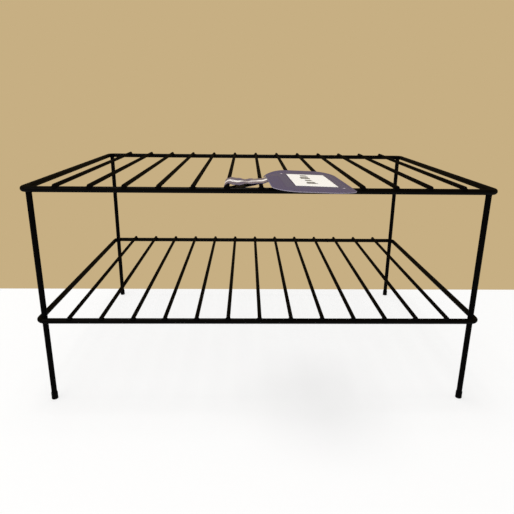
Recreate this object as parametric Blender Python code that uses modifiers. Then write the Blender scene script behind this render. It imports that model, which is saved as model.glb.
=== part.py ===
"""A two-tier wire cabinet rack with a hang tag looped round one of its bars.

Lengths are in metres and +Z is up. The feet stand on z = 0. The origin is the
middle of the whole footprint, the tag's overhang included, so the rack itself
stands a little behind it. +X is the rack's right and -Y its front.
"""
import bpy
import bmesh
from math import atan2, cos, floor, pi, radians, sin, sqrt
from mathutils import Matrix, Vector

# The rack's outside
RACK_WIDTH = 0.400
RACK_DEPTH = 0.280
LOWER_SHELF_HEIGHT = 0.082    # floor to the middle of the lower ring's wire
UPPER_SHELF_HEIGHT = 0.200    # floor to the middle of the upper ring's wire

# Its wires, by diameter
FRAME_WIRE = 0.0050
LEG_WIRE = 0.0050
BAR_WIRE = 0.0036
CORNER_RADIUS = 0.006         # a ring's bend, on the wire's centre line
BARS_PER_SHELF = 13
BAR_END_SETBACK = 0.0004      # a bar's cut end, inside the ring's outer side
LEG_TOP_SETBACK = 0.0003      # a leg's cut top, below the upper ring's top
WELD_SET_DOWN = 0.0015        # how far welding presses a bar or leg into a ring
CLEARANCE = 0.0003            # between pieces that are welded or that touch

# The soft caps on the legs' ends
CAP_LENGTH = 0.0065
CAP_WALL = 0.00035
CAP_FLOOR = 0.0012
CAP_FIT = 0.00015             # round the leg, inside the cap
CAP_EDGE = 0.0005             # rounding of the cap's lower edge

# The hang tag's card and the label on it
TAG_BAR = 6                   # the bar that the strap is looped round
CARD_WIDTH = 0.0675
CARD_LENGTH = 0.122
CARD_CORNER = 0.022
CARD_STOCK = 0.0006
CARD_TURN = radians(2.4)      # the card lies a little askew on the bars
CARD_OVERHANG = 0.041         # past the front ring's outer side
CARD_START = 0.0053           # middle bar's centre line to the card's left edge
LABEL_WIDTH = 0.0344
LABEL_LENGTH = 0.0667
LABEL_CORNER = 0.0006
LABEL_STOCK = 0.0002
LABEL_ACROSS = 0.0037         # card's middle to the label's, to the right
LABEL_ALONG = -0.0007         # card's middle to the label's, to the rear

# The strap, one band of film with both its ends under the card
STRAP_STOCK = 0.0004
STRAP_WIDTH = 0.028
STRAP_LAP = 0.012             # how far the ends reach in under the card
STRAP_SETBACK = 0.0012        # front rail's inner side to the strap's edge
STRAP_SAG = 0.0011            # dip of the upper layer between two bars
LOOP_SIDE_SLACK = 0.0002
LOOP_RISE = 0.0014            # slack of the loop over its bar
LOOP_DROP = 0.0020            # slack of the loop under its bar

# Where the strap's bends lie between its bar and the next, as shares of the
# bars' pitch
UPPER_LAYER_SHARES = (1.06, 0.86, 0.60, 0.32, 0.05)
LOWER_LAYER_SHARES = (0.10, 0.42, 0.80, 1.0, 1.2)

# How finely round shapes are cut
CORNER_STEPS = 6
CARD_CORNER_STEPS = 8
CAP_STEPS = 24
CAP_EDGE_STEPS = 3
STRAP_STEPS = 5
WIRE_SIDES = 12
SEAT_STEPS = 12               # cuts along half a turn of a welded seat
MERGE_DISTANCE = 0.00001

# Worked out from the sizes above
FRAME_RADIUS = FRAME_WIRE / 2
LEG_RADIUS = LEG_WIRE / 2
BAR_RADIUS = BAR_WIRE / 2
RING_WIDTH = RACK_WIDTH - FRAME_WIRE
RING_DEPTH = RACK_DEPTH - FRAME_WIRE
RACK_MIDDLE_Y = CARD_OVERHANG / 2
BAR_PITCH = RING_WIDTH / (BARS_PER_SHELF + 1)
BAR_RISE = FRAME_RADIUS + CLEARANCE + BAR_RADIUS - WELD_SET_DOWN
UPPER_BAR_HEIGHT = UPPER_SHELF_HEIGHT + BAR_RISE
MIDDLE_BAR = (BARS_PER_SHELF + 1) // 2
CAP_BORE_RADIUS = LEG_RADIUS + CAP_FIT
CAP_RADIUS = CAP_BORE_RADIUS + CAP_WALL
# A leg is pressed outward into a ring's bend, from the middle of the bend
LEG_NEST = CORNER_RADIUS - (LEG_RADIUS + FRAME_RADIUS + CLEARANCE - WELD_SET_DOWN)
LEG_INSET = CORNER_RADIUS - LEG_NEST / sqrt(2)
# A seat's straight cuts stay outside the ring's wire and its clearance
SEAT_RADIUS = (FRAME_RADIUS + CLEARANCE) / cos(pi / (2 * SEAT_STEPS))


def clear_scene():
    """Start from nothing, whatever the open file holds."""
    for item in list(bpy.data.objects):
        bpy.data.objects.remove(item, do_unlink=True)


def new_collection(name):
    """A collection in the scene, for the rack's parts."""
    collection = bpy.data.collections.new(name)
    bpy.context.scene.collection.children.link(collection)
    return collection


def new_material(name, colour, roughness, metallic):
    """A plain Principled surface."""
    material = bpy.data.materials.new(name)
    material.use_nodes = True
    shader = material.node_tree.nodes["Principled BSDF"]
    shader.inputs["Base Color"].default_value = (*colour, 1)
    shader.inputs["Roughness"].default_value = roughness
    shader.inputs["Metallic"].default_value = metallic
    material.diffuse_color = (*colour, 1)
    return material


def new_empty(name, collection, location, parent=None):
    """An empty that carries a group of pieces, such as a joint's axis."""
    empty = bpy.data.objects.new(name, None)
    collection.objects.link(empty)
    empty.parent = parent
    empty.location = location
    return empty


def add_piece(name, data, material, collection, parent, location):
    """One named piece, placed in its parent's frame."""
    piece = bpy.data.objects.new(name, data)
    if not data.materials:
        data.materials.append(material)
    collection.objects.link(piece)
    piece.parent = parent
    piece.location = location
    return piece


def circle_points(radius):
    """Points round a circle, as many as a wire has sides."""
    turns = [2 * pi * side / WIRE_SIDES for side in range(WIRE_SIDES)]
    return [(radius * cos(turn), radius * sin(turn)) for turn in turns]


def wire_mesh(name, sections):
    """A straight wire skinned over its sections, with flat cut ends."""
    mesh = bpy.data.meshes.new(name)
    wire = bmesh.new()
    rings = [[wire.verts.new(point) for point in section] for section in sections]
    for near, far in zip(rings, rings[1:]):
        for side in range(WIRE_SIDES):
            after = (side + 1) % WIRE_SIDES
            face = wire.faces.new((near[side], near[after], far[after], far[side]))
            face.smooth = True
    wire.faces.new(rings[0])
    wire.faces.new(rings[-1])
    bmesh.ops.recalc_face_normals(wire, faces=wire.faces)
    wire.to_mesh(mesh)
    wire.free()
    return mesh


def section_places(start, end, seats):
    """Where sections stand along a wire: at its ends and through its seats."""
    places = [start, end]
    for middle in seats:
        for step in range(SEAT_STEPS + 1):
            place = middle + SEAT_RADIUS * cos(pi * step / SEAT_STEPS)
            if start + CLEARANCE / 2 < place < end - CLEARANCE / 2:
                places.append(place)
    return sorted(places)


def seat_height(place, seats):
    """How high a ring's wire and its clearance stand there, over the wire's middle."""
    offset = min(abs(place - middle) for middle in seats)
    return sqrt(max(SEAT_RADIUS ** 2 - offset ** 2, 0))


def rounded_rectangle(width, length, radius, steps):
    """Points round a rectangle with round corners, centred, in the XY plane."""
    points = []
    for turn, (side_x, side_y) in enumerate(((1, 1), (-1, 1), (-1, -1), (1, -1))):
        middle = Vector((side_x * (width / 2 - radius), side_y * (length / 2 - radius)))
        for step in range(steps + 1):
            angle = pi / 2 * (turn + step / steps)
            points.append((middle.x + radius * cos(angle), middle.y + radius * sin(angle)))
    return points


def plate_curve(name, outline, thickness):
    """A flat sheet with a given outline, its middle plane on z = 0."""
    curve = bpy.data.curves.new(name, "CURVE")
    curve.dimensions = "2D"
    curve.fill_mode = "BOTH"
    curve.extrude = thickness / 2
    spline = curve.splines.new("POLY")
    spline.points.add(len(outline) - 1)
    for point, (x, y) in zip(spline.points, outline):
        point.co = (x, y, 0, 1)
    spline.use_cyclic_u = True
    return curve


def bar_x(number):
    """A crossbar's place across the rack, numbered from 1 at the left."""
    return (number - MIDDLE_BAR) * BAR_PITCH


def add_frame(name, height, material, collection, rack):
    """One ring of heavy wire, bent at four corners and butt welded."""
    curve = bpy.data.curves.new(name, "CURVE")
    curve.dimensions = "3D"
    curve.bevel_depth = FRAME_RADIUS
    curve.bevel_resolution = WIRE_SIDES // 2 - 2
    spline = curve.splines.new("POLY")
    outline = rounded_rectangle(RING_WIDTH, RING_DEPTH, CORNER_RADIUS, CORNER_STEPS)
    spline.points.add(len(outline) - 1)
    for point, (x, y) in zip(spline.points, outline):
        point.co = (x, y, 0, 1)
        point.radius = 1
    spline.use_cyclic_u = True
    spline.use_smooth = True
    add_piece(name, curve, material, collection, rack, (0, 0, height))


def bar_mesh():
    """A crossbar, hollowed from below where it is pressed on a ring's runs."""
    half_bar = RACK_DEPTH / 2 - BAR_END_SETBACK
    seats = (-RING_DEPTH / 2, RING_DEPTH / 2)
    sections = []
    for y in section_places(-half_bar, half_bar, seats):
        underside = seat_height(y, seats) - BAR_RISE
        circle = circle_points(BAR_RADIUS)
        sections.append([(x, y, max(z, underside)) for x, z in circle])
    return wire_mesh("bar_wire", sections)


def add_bars(prefix, shelf_height, mesh, material, collection, rack):
    """A shelf's crossbars, welded on the ring's front and rear runs."""
    for number in range(1, BARS_PER_SHELF + 1):
        name = f"{prefix}_bar_{number:02d}"
        place = (bar_x(number), 0, shelf_height + BAR_RISE)
        add_piece(name, mesh, material, collection, rack, place)


def cap_section_points():
    """A foot cap's half section, from its inside floor out and round its foot."""
    points = [(0, CAP_FLOOR), (CAP_BORE_RADIUS, CAP_FLOOR), (CAP_BORE_RADIUS, CAP_LENGTH)]
    points.append((CAP_RADIUS, CAP_LENGTH))
    for step in range(CAP_EDGE_STEPS + 1):
        angle = pi / 2 * step / CAP_EDGE_STEPS
        across = CAP_RADIUS - CAP_EDGE + CAP_EDGE * cos(angle)
        points.append((across, CAP_EDGE - CAP_EDGE * sin(angle)))
    points.append((0, 0))
    return points


def cap_mesh():
    """The section that a Screw modifier turns into a cap."""
    mesh = bpy.data.meshes.new("foot_cap_section")
    section = bmesh.new()
    vertices = [section.verts.new((x, 0, z)) for x, z in cap_section_points()]
    for first, second in zip(vertices, vertices[1:]):
        section.edges.new((first, second))
    section.to_mesh(mesh)
    section.free()
    return mesh


def add_foot(place, section, material, collection, rack, location):
    """A soft cap pushed up over a leg's end."""
    cap = add_piece(f"foot_cap_{place}", section, material, collection, rack, location)
    turn = cap.modifiers.new("turn", "SCREW")
    turn.steps = CAP_STEPS
    turn.render_steps = CAP_STEPS
    turn.use_merge_vertices = True
    turn.merge_threshold = MERGE_DISTANCE
    turn.use_smooth_shade = True


def leg_mesh():
    """The rear right leg, drawn in toward its bends' middle where they press it."""
    bottom = CAP_FLOOR + CLEARANCE
    top = UPPER_SHELF_HEIGHT + FRAME_RADIUS - LEG_TOP_SETBACK
    seats = (LOWER_SHELF_HEIGHT, UPPER_SHELF_HEIGHT)
    nest = Vector((LEG_NEST, LEG_NEST)) / sqrt(2)
    sections = []
    for z in section_places(bottom, top, seats):
        reach = CORNER_RADIUS - seat_height(z, seats)
        section = []
        for corner in circle_points(LEG_RADIUS):
            place = nest + Vector(corner)
            place = place * min(1, reach / place.length) - nest
            section.append((*place, z))
        sections.append(section)
    return wire_mesh("leg_wire", sections)


def add_legs(leg_material, cap_material, collection, rack):
    """Four straight legs, one leg turned to face its corner of both rings."""
    leg_wire = leg_mesh()
    cap_section = cap_mesh()
    reach_x = RING_WIDTH / 2 - LEG_INSET
    reach_y = RING_DEPTH / 2 - LEG_INSET
    corners = (("rear_right", 1, 1), ("rear_left", -1, 1),
               ("front_left", -1, -1), ("front_right", 1, -1))
    for turn, (place, side_x, side_y) in enumerate(corners):
        location = (side_x * reach_x, side_y * reach_y, 0)
        leg = add_piece(f"leg_{place}", leg_wire, leg_material, collection, rack, location)
        leg.rotation_euler = (0, 0, turn * pi / 2)
        add_foot(place, cap_section, cap_material, collection, rack, location)


def strap_path():
    """The strap's centre line seen from the front, in its bar's own frame.

    It starts under the card, runs left over the next bar, dips, goes round
    the strap's bar and comes back beneath itself.
    """
    side = BAR_RADIUS + CLEARANCE + STRAP_STOCK / 2
    lower = side
    upper = lower + STRAP_STOCK + CLEARANCE
    end = bar_x(MIDDLE_BAR) + CARD_START + STRAP_LAP - bar_x(TAG_BAR)
    next_bar = (MIDDLE_BAR - TAG_BAR) * BAR_PITCH
    left = -side - LOOP_SIDE_SLACK
    drop = -side - LOOP_DROP
    over, rise, dip, fall, crest = (share * next_bar for share in UPPER_LAYER_SHARES)
    sink, climb, near, on, past = (share * next_bar for share in LOWER_LAYER_SHARES)
    return [
        (end, upper),
        (over, upper),
        (rise, upper - STRAP_SAG / 2),
        (dip, upper - STRAP_SAG),
        (fall, upper - STRAP_SAG / 2),
        (crest, side + LOOP_RISE),
        (left, 0),
        (left, drop / 2),
        (0, drop),
        (sink, drop),
        (climb, drop / 2),
        (near, 0),
        (on, lower),
        (past, lower),
        (end, lower),
    ]


def add_strap(material, collection, pivot, location):
    """The band of film, an open ribbon along its path given its thickness."""
    curve = bpy.data.curves.new("tag_strap", "CURVE")
    curve.dimensions = "2D"
    curve.fill_mode = "NONE"
    curve.extrude = STRAP_WIDTH / 2
    curve.resolution_u = STRAP_STEPS
    spline = curve.splines.new("BEZIER")
    path = strap_path()
    spline.bezier_points.add(len(path) - 1)
    for point, (x, z) in zip(spline.bezier_points, path):
        point.co = (x, z, 0)
        point.handle_left_type = "AUTO"
        point.handle_right_type = "AUTO"
    strap = add_piece("tag_strap", curve, material, collection, pivot, location)
    strap.rotation_euler = (pi / 2, 0, 0)
    film = strap.modifiers.new("film", "SOLIDIFY")
    film.thickness = STRAP_STOCK
    film.offset = 0
    film.use_even_offset = True


def card_reach(length, width):
    """Half the room that the card takes along its length, as it lies askew."""
    straight_length = length / 2 - CARD_CORNER
    straight_width = width / 2 - CARD_CORNER
    askew = abs(CARD_TURN)
    return straight_length * cos(askew) + straight_width * sin(askew) + CARD_CORNER


def rest_bar_x():
    """The last bar that the card reaches, which its free side lies on."""
    card_right = CARD_START + CARD_WIDTH / 2 + card_reach(CARD_WIDTH, CARD_LENGTH)
    bars_under = floor((card_right + BAR_RADIUS + CLEARANCE) / BAR_PITCH)
    return bar_x(MIDDLE_BAR + bars_under)


def add_tag(materials, collection, rack):
    """The card, its label and its strap, all turning on the strap's bar."""
    pivot = new_empty("hang_tag_pivot", collection, (bar_x(TAG_BAR), 0, UPPER_BAR_HEIGHT), rack)
    front_side = -RACK_DEPTH / 2
    strap_y = front_side + FRAME_WIRE + STRAP_SETBACK + STRAP_WIDTH / 2
    add_strap(materials["strap"], collection, pivot, (0, strap_y, 0))

    # The card lies on the strap's ends at its left and on a bar at its right
    strap_end = bar_x(MIDDLE_BAR) + CARD_START + STRAP_LAP
    strap_rise = CLEARANCE + STRAP_STOCK + CLEARANCE + STRAP_STOCK
    slope = atan2(strap_rise, rest_bar_x() - strap_end)
    lie = Matrix.Rotation(slope, 3, "Y") @ Matrix.Rotation(CARD_TURN, 3, "Z")
    support = Vector((strap_end - bar_x(TAG_BAR), 0, BAR_RADIUS + strap_rise + CLEARANCE))
    card_y = front_side - CARD_OVERHANG + card_reach(CARD_LENGTH, CARD_WIDTH)
    card_middle = support + Matrix.Rotation(slope, 3, "Y") @ Vector(
        (CARD_WIDTH / 2 - STRAP_LAP, card_y, CARD_STOCK / 2))

    outline = rounded_rectangle(CARD_WIDTH, CARD_LENGTH, CARD_CORNER, CARD_CORNER_STEPS)
    card = add_piece("tag_card", plate_curve("tag_card", outline, CARD_STOCK),
                     materials["card"], collection, pivot, card_middle)
    card.rotation_euler = lie.to_euler()

    label_rise = CARD_STOCK / 2 + CLEARANCE + LABEL_STOCK / 2
    label_middle = card_middle + lie @ Vector((LABEL_ACROSS, LABEL_ALONG, label_rise))
    outline = rounded_rectangle(LABEL_WIDTH, LABEL_LENGTH, LABEL_CORNER, CORNER_STEPS)
    label = add_piece("tag_label", plate_curve("tag_label", outline, LABEL_STOCK),
                      materials["label"], collection, pivot, label_middle)
    label.rotation_euler = lie.to_euler()


def build_rack():
    """The whole part."""
    clear_scene()
    collection = new_collection("cabinet_rack")
    rack = new_empty("cabinet_rack_middle", collection, (0, RACK_MIDDLE_Y, 0))
    frame_coat = new_material("frame_coating", (0.009, 0.009, 0.010), 0.42, 0.0)
    bar_coat = new_material("bar_coating", (0.009, 0.009, 0.010), 0.42, 0.0)
    leg_coat = new_material("leg_coating", (0.009, 0.009, 0.010), 0.42, 0.0)
    cap_vinyl = new_material("cap_vinyl", (0.010, 0.010, 0.010), 0.6, 0.0)
    tag_materials = {
        "card": new_material("card_stock", (0.11, 0.09, 0.16), 0.45, 0.0),
        "label": new_material("label_paper", (0.86, 0.85, 0.83), 0.55, 0.0),
        "strap": new_material("strap_film", (0.38, 0.34, 0.42), 0.25, 0.0),
    }
    bar_wire = bar_mesh()
    for prefix, height in (("lower", LOWER_SHELF_HEIGHT), ("upper", UPPER_SHELF_HEIGHT)):
        add_frame(f"{prefix}_frame", height, frame_coat, collection, rack)
        add_bars(prefix, height, bar_wire, bar_coat, collection, rack)
    add_legs(leg_coat, cap_vinyl, collection, rack)
    add_tag(tag_materials, collection, rack)


build_rack()
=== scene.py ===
"""Looks for the cabinet rack: coated wire, welds, foot caps and the hang tag.

Lengths are in metres, in the CAD model's frame: the feet stand on z = 0, +X is
the rack's right and -Y its front. Each CAD piece is hidden and stood for by a
finer one in the same place.
"""
from math import atan2, cos, pi, radians, sin, sqrt

import bpy
import numpy as np
from mathutils import Matrix, Vector, geometry


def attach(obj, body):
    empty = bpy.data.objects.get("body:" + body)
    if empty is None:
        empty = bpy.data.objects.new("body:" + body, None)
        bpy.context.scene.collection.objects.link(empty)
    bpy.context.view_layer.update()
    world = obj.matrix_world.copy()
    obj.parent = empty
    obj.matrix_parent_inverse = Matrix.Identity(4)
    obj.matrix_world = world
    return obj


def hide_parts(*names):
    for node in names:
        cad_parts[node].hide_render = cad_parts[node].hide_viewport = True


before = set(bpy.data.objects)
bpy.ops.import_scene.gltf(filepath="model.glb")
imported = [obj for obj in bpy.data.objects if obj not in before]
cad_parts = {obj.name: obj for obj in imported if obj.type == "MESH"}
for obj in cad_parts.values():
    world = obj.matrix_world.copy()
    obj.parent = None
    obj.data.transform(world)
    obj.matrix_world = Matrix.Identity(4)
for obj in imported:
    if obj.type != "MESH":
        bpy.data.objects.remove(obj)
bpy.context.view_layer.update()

# The rack, with the sizes of the CAD model
RACK_WIDTH = 0.400
RACK_DEPTH = 0.280
SHELF_HEIGHTS = {"lower": 0.082, "upper": 0.200}
FRAME_RADIUS = 0.0025
LEG_RADIUS = 0.0025
BAR_RADIUS = 0.0018
CORNER_RADIUS = 0.006
BARS_PER_SHELF = 13
BAR_END_SETBACK = 0.0004
LEG_TOP_SETBACK = 0.0003
WELD_SET_DOWN = 0.0015
CLEARANCE = 0.0003
RING_WIDTH = RACK_WIDTH - 2 * FRAME_RADIUS
RING_DEPTH = RACK_DEPTH - 2 * FRAME_RADIUS
BAR_PITCH = RING_WIDTH / (BARS_PER_SHELF + 1)
BAR_RISE = FRAME_RADIUS + CLEARANCE + BAR_RADIUS - WELD_SET_DOWN
MIDDLE_BAR = (BARS_PER_SHELF + 1) // 2
LEG_NEST = CORNER_RADIUS - (LEG_RADIUS + FRAME_RADIUS + CLEARANCE - WELD_SET_DOWN)
LEG_INSET = CORNER_RADIUS - LEG_NEST / sqrt(2)
LEG_TOP = SHELF_HEIGHTS["upper"] + FRAME_RADIUS - LEG_TOP_SETBACK

# The foot caps, with the sizes of the CAD model
CAP_LENGTH = 0.0065
CAP_FLOOR = 0.0012
CAP_BORE_RADIUS = 0.00265
CAP_RADIUS = 0.0030
CAP_EDGE = 0.0005

# The hang tag, with the sizes of the CAD model
TAG_BAR = 6
REST_BAR = 9
CARD_WIDTH = 0.0675
CARD_LENGTH = 0.122
CARD_CORNER = 0.022
CARD_STOCK = 0.0006
CARD_TURN = radians(2.4)
CARD_OVERHANG = 0.041
RACK_MIDDLE_Y = CARD_OVERHANG / 2
CARD_START = 0.0053
LABEL_WIDTH = 0.0344
LABEL_LENGTH = 0.0667
LABEL_CORNER = 0.0006
LABEL_ACROSS = 0.0037
LABEL_ALONG = -0.0007
STRAP_STOCK = 0.0004
STRAP_WIDTH = 0.028
STRAP_LAP = 0.012
STRAP_SETBACK = 0.0012
STRAP_RISE = 2 * (CLEARANCE + STRAP_STOCK)
STRAP_SPAN = (MIDDLE_BAR - TAG_BAR) * BAR_PITCH
CARD_SLOPE = atan2(STRAP_RISE, (REST_BAR - MIDDLE_BAR) * BAR_PITCH - CARD_START - STRAP_LAP)
LOOP_DROP = 0.0020

# Finer shapes of the wires and caps, which only the looks have
WIRE_SIDES = 28
HEAVY_SIDES = 36
COAT_EDGE = 0.0004            # rounding of the coating on a cut end
COAT_EDGE_STEPS = 5
END_RIM = 0.5                 # rim of an end's middle face, as a share of the flat's radius
END_FLAT = 0.96               # where a cut end's flat starts to turn, likewise
SIDE_START = 2.5              # from the end to the first ring of the side, in edges
SIDE_RUNS = 8
BUTT_WELD_X = 0.1035          # the ring's butt weld, in its rear run
BUTT_WELD_SWELL = 0.00016
BUTT_WELD_REACH = 0.0022
CAP_BORE_RUN = 0.0012         # from the cap's top down to the last ring of its bore
CAP_LIP_FOOT = 0.00036        # from the lip's round down to its foot
CAP_WAIST_TOP = 0.00084       # and down to the waist
CAP_WAIST = 0.00006           # how far the waist is drawn in
CAP_WAIST_RINGS = (0.6, 0.3)  # its heights, as shares of the cap's length
CAP_LIP_STEPS = 8
CAP_EDGE_STEPS = 6

# The welds
WELD_VARIANTS = 4
WELD_BLEND = 0.0012           # how wide a weld flows between two wires
LEG_WELD_BLEND = 0.0014
WELD_UNEVEN = 0.18            # how much that width varies over a weld
LEG_WELD_UNEVEN = 0.15
WELD_SINK = 0.000012          # how far a weld's rim dips under the wires
WELD_REACH = 0.0046           # how far out its surface is looked for
REACH_STEPS = 93
REACH_HALVINGS = 18

# Finer shapes of the hang tag
FILM_STOCK = 0.00022          # the strap's own thickness
FILM_GAP = 0.0001             # between its layers, and from them to the bar
SHEET_SPACING = 0.002
RIM_MARGIN = 0.45             # free points keep this share of the spacing from the rim
CARD_ROUNDING = 0.0001        # of the card's cut edge
LABEL_ROUNDING = 0.00002
RULE_ROUNDING = 0.000003
LABEL_PAPER = 0.00011
LABEL_LIFT = 0.00003
RIGHT_REST = 0.0174           # where the card leaves bar 9, from its middle
LEFT_REST = -0.0108           # and where it leaves bar 8
RIGHT_DROOP = 4.3             # how fast it falls away there, in metres per square metre
LEFT_DROOP = 8.4
SAG_START = 0.016             # where along the card the left side's sag starts
SAG_FULL = 0.046              # and where it is full
DOT_RADIUS = 0.0011
DOT_RISE = 0.00022
DOT_STEPS = 7
DOT_SIDES = 24
DOT_PLACES = ((-0.0174, 0.0368), (0.0244, -0.0375))
RULE_STOCK = 0.00001
RULE_LIFT = 0.00001
RULE_CORNER = 0.0002
# The label's plain rules: middle x and y from the label's, width and length
RULES = ((-0.0029, 0.0256, 0.0054, 0.0031), (-0.0025, 0.0219, 0.0066, 0.0031),
         (-0.0036, 0.0136, 0.0076, 0.0044), (-0.0032, 0.0086, 0.0082, 0.0044),
         (-0.0026, -0.0008, 0.0054, 0.0026), (-0.0022, -0.0040, 0.0062, 0.0026),
         (-0.0018, -0.0122, 0.0066, 0.0028), (-0.0022, -0.0157, 0.0078, 0.0028),
         (-0.0016, -0.0192, 0.0094, 0.0028))

# The strap, as it runs from the card to its bar. A share is of the bars' pitch,
# from the strap's own bar.
STRAP_BEND = 0.004            # from the card's edge to where the film bends under it
# Over the gap: share, and height over the film's level on the bars
STRAP_TOP = ((1.05, 0.0001), (0.97, 0), (0.86, -0.0002), (0.70, -0.0005), (0.50, -0.0007),
             (0.34, -0.0005), (0.17, -0.0002), (0.03, 0.0002))
LOOP_SHOULDER = 0.0002        # height at which the film turns down round its bar
PATH_STEPS = 9
UPPER_SHARE = 0.45            # share of the path's points before it turns under its bar
FREE_START = (0.08, 0.35)     # shares between which the film comes loose
FREE_END = (0.70, 0.92)       # and is held again
FILM_LEAN = 0.0005            # how much higher the far edge stands than the middle
LEAN_SHARES = (0, 0.18, 0.38, 0.5)
LEAN_RISES = (FILM_LEAN, 0.0011, 0.0004, 0)
ACROSS_STEPS = 20
ACROSS_EASE = 0.85            # below 1, the columns are closer at the film's edges
# The crumple's waves: depth, then radians per metre along and across
CRUMPLES = ((0.00032, 620, 130), (0.00022, -260, 420))

# Colours. A mottle goes from its first colour to its second.
COAT_BLACK = (0.001, 0.001, 0.001)
COAT_MOTTLE = ((0.0006, 0.0005, 0.0005), (0.0016, 0.0014, 0.0014))
VINYL_BLACK = (0.004, 0.004, 0.004)
VINYL_MOTTLE = ((0.0015, 0.0015, 0.0015), (0.018, 0.017, 0.016))
PURPLE = (0.08, 0.065, 0.13)
PURPLE_MOTTLE = ((0.045, 0.040, 0.113), (0.064, 0.058, 0.149))
PRINT_LINE = (0.72, 0.70, 0.74)   # these three multiply the card's purple
PRINT_BAND = (1.10, 1.18, 0.98)
PRINT_RIM = (0.84, 0.82, 0.90)
CUT_EDGE = (0.30, 0.27, 0.33)
CUT_EDGE_MOTTLE = ((0.20, 0.17, 0.24), (0.40, 0.37, 0.43))
PALE_DOT = (0.5, 0.46, 0.56)
PALE_DOT_MOTTLE = ((0.42, 0.38, 0.48), (0.58, 0.54, 0.64))
PAPER = (0.86, 0.85, 0.83)
PAPER_MOTTLE = ((0.85, 0.84, 0.81), (0.93, 0.92, 0.90))
INK = (0.03, 0.03, 0.03)
INK_MOTTLE = ((0.008, 0.009, 0.008), (0.05, 0.052, 0.05))
STRIPE_MOTTLE = ((0.62, 0.58, 0.63), (0.94, 0.93, 0.94))
# The next two colours are painted light on the stripe: a painted highlight where it glares
# white next to the card, and painted shade where it is dull mid-span.
STRIPE_PAINTED_GLARE = (0.97, 0.96, 0.98)
STRIPE_PAINTED_SHADE = (0.26, 0.22, 0.27)
# The film's inner side is painted near-black: painted shade, where the upper layer shadows the
# loop's inside.
FILM_INSIDE_PAINTED_SHADE = (0.02, 0.02, 0.02)
FILM_INSIDE_SHADE_MOTTLE = ((0.006, 0.006, 0.006), (0.035, 0.037, 0.033))

# How materials lie on their pieces
NOISE_LOW, NOISE_HIGH = 0.3, 0.7  # most of a noise's values lie between these
SCUFF_HEIGHT = 0.0018         # how far up a foot cap is scuffed
PRINT_FRAME = 0.0085          # how far the printed frame reaches out from the label
PRINT_RUN = PRINT_FRAME * 1.25    # over which the next tints are spread
PRINT_STOPS = ((0.08, PRINT_LINE), (0.16, PRINT_BAND), (0.76, PRINT_BAND), (0.82, PRINT_RIM),
               (0.99, (1, 1, 1)))
STRIPE_HALF = 0.0034
STRIPE_SOFT = 0.0004
STRIPE_RUN = BAR_PITCH * 1.2  # from the strap's bar to the card
# Shares of that run: how much painted shade dulls the stripe at each, and where a painted
# highlight turns it white
STRIPE_PAINTED_SHADE_SHARES = ((0.30, 0), (0.50, 0.6), (0.64, 0.6), (0.78, 0))
STRIPE_GLARE_FROM = 0.68
STRIPE_GLARE_TO = 0.78

# How glossy each kind of wire is
HEAVY_SHINE = 0.085
THIN_SHINE = 0.05
LEG_SHINE = 0.045

# Stage and lights
FLOOR_REAR = 0.1755
FLOOR_DEPTH = 3.0
FLOOR_WIDTH = 6.0
FLOOR_STOCK = 0.02
FLOOR_GLOW = 0.68             # share of the floor's white that is its own where seen
FLOOR_WHITE = (0.95, 0.95, 0.95)
BACKDROP = (0.571, 0.429, 0.227)
ROOM_COLOUR = (1, 0.985, 0.96)
ROOM_LIGHT = 0.6
LIGHT_TARGET = (0, 0.02, 0.1)
# Soft boxes: name, place, size, power and colour
LIGHTS = (("overhead", (-0.20, 0.05, 2.3), 0.8, 22.0, (1, 0.99, 0.97)),
          ("front_left", (-1.4, -1.7, 1.7), 1.4, 10.0, (1, 1, 1)))

# Camera
CAMERA_PLACE = (-0.0120, -0.5221, 0.2689)
CAMERA_SENSOR = 36
CAMERA_LENS = 34.46
CAMERA_PITCH = radians(17.34)
CAMERA_YAW = radians(-1.28)
CAMERA_ROLL = radians(0.6)

# Which of a sheet's or film's materials a face has
TOP, CUT, UNDER = 0, 1, 2
OUTER, INNER = 0, 1


def bar_x(number):
    """A crossbar's place across the rack, numbered from 1 at the left."""
    return (number - MIDDLE_BAR) * BAR_PITCH


def smooth(low, high, value):
    """0 below low, 1 above high and a soft step between them."""
    t = np.clip((value - low) / (high - low), 0, 1)
    return t * t * (3 - 2 * t)


# Meshes

def add_object(name, vertices, faces, material, body, nodes=(), matrix=None):
    """A named piece that rides on a body and stands for CAD nodes."""
    mesh = bpy.data.meshes.new(name)
    mesh.from_pydata([tuple(v) for v in vertices], [], [tuple(f) for f in faces])
    mesh.polygons.foreach_set("use_smooth", [True] * len(mesh.polygons))
    mesh.update()
    piece = bpy.data.objects.new(name, mesh)
    bpy.context.scene.collection.objects.link(piece)
    materials = material if isinstance(material, list) else [material]
    for one in materials:
        mesh.materials.append(one)
    if matrix is not None:
        piece.matrix_world = matrix
    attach(piece, body)
    if nodes:
        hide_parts(*nodes)
    return piece


def flipped(faces):
    """The same faces, looking the other way."""
    return [tuple(reversed(face)) for face in faces]


def grid_faces(rows, columns, wrap_rows, wrap_columns):
    """Quads over a grid of vertices numbered row by row."""
    faces = []
    for row in range(rows if wrap_rows else rows - 1):
        for column in range(columns if wrap_columns else columns - 1):
            next_row = (row + 1) % rows
            next_column = (column + 1) % columns
            faces.append((row * columns + column, next_row * columns + column,
                          next_row * columns + next_column, row * columns + next_column))
    return faces


def lathe(profile, sides):
    """A surface turned about Z from (radius, height) points, lowest end first.

    The first and last points are the ends' rims, closed with one face each.
    """
    vertices = []
    for radius, height in profile:
        for side in range(sides):
            angle = 2 * pi * side / sides
            vertices.append((radius * cos(angle), radius * sin(angle), height))
    rows = len(profile)
    faces = flipped(grid_faces(rows, sides, False, True))
    faces.append(tuple(reversed(range(sides))))
    faces.append(tuple((rows - 1) * sides + side for side in range(sides)))
    return np.array(vertices), faces


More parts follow.
